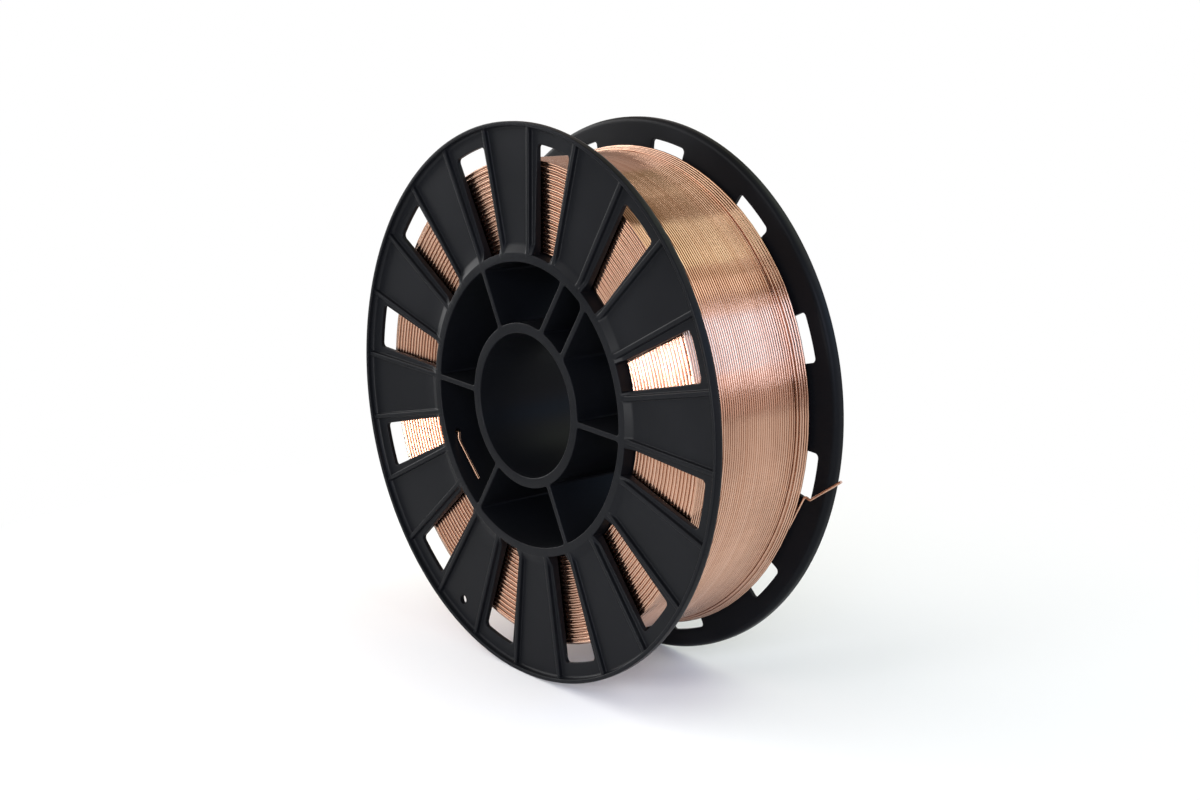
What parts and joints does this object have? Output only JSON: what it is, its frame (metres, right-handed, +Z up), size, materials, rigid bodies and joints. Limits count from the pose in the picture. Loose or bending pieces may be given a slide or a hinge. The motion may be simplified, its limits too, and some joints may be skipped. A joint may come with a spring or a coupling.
{
  "type": "wire spool",
  "caption": "Moulded plastic wire spool with ribbed, windowed flanges, a hollow ribbed hub, spindle bore and drive pocket, wound with copper-coated wire.",
  "frame": {"origin": "centre of the spindle bore at the middle of the spool's width", "axes": "+Y along the spindle axis from the near flange (with the wire's inner end) to the far one, +Z up, +X to the right seen from the near flange"},
  "size_m": [0.204, 0.0594, 0.2],
  "materials": {
    "moulded_plastic": "satin black",
    "coppered_wire": "bright copper-coated steel"
  },
  "bodies": {
    "root": {"spool_half_near": "moulded_plastic", "spool_half_far": "moulded_plastic", "wire_core": "coppered_wire", "wire_outer_layer": "coppered_wire", "wire_outer_end": "coppered_wire", "wire_inner_end": "coppered_wire"}
  },
  "joints": []
}
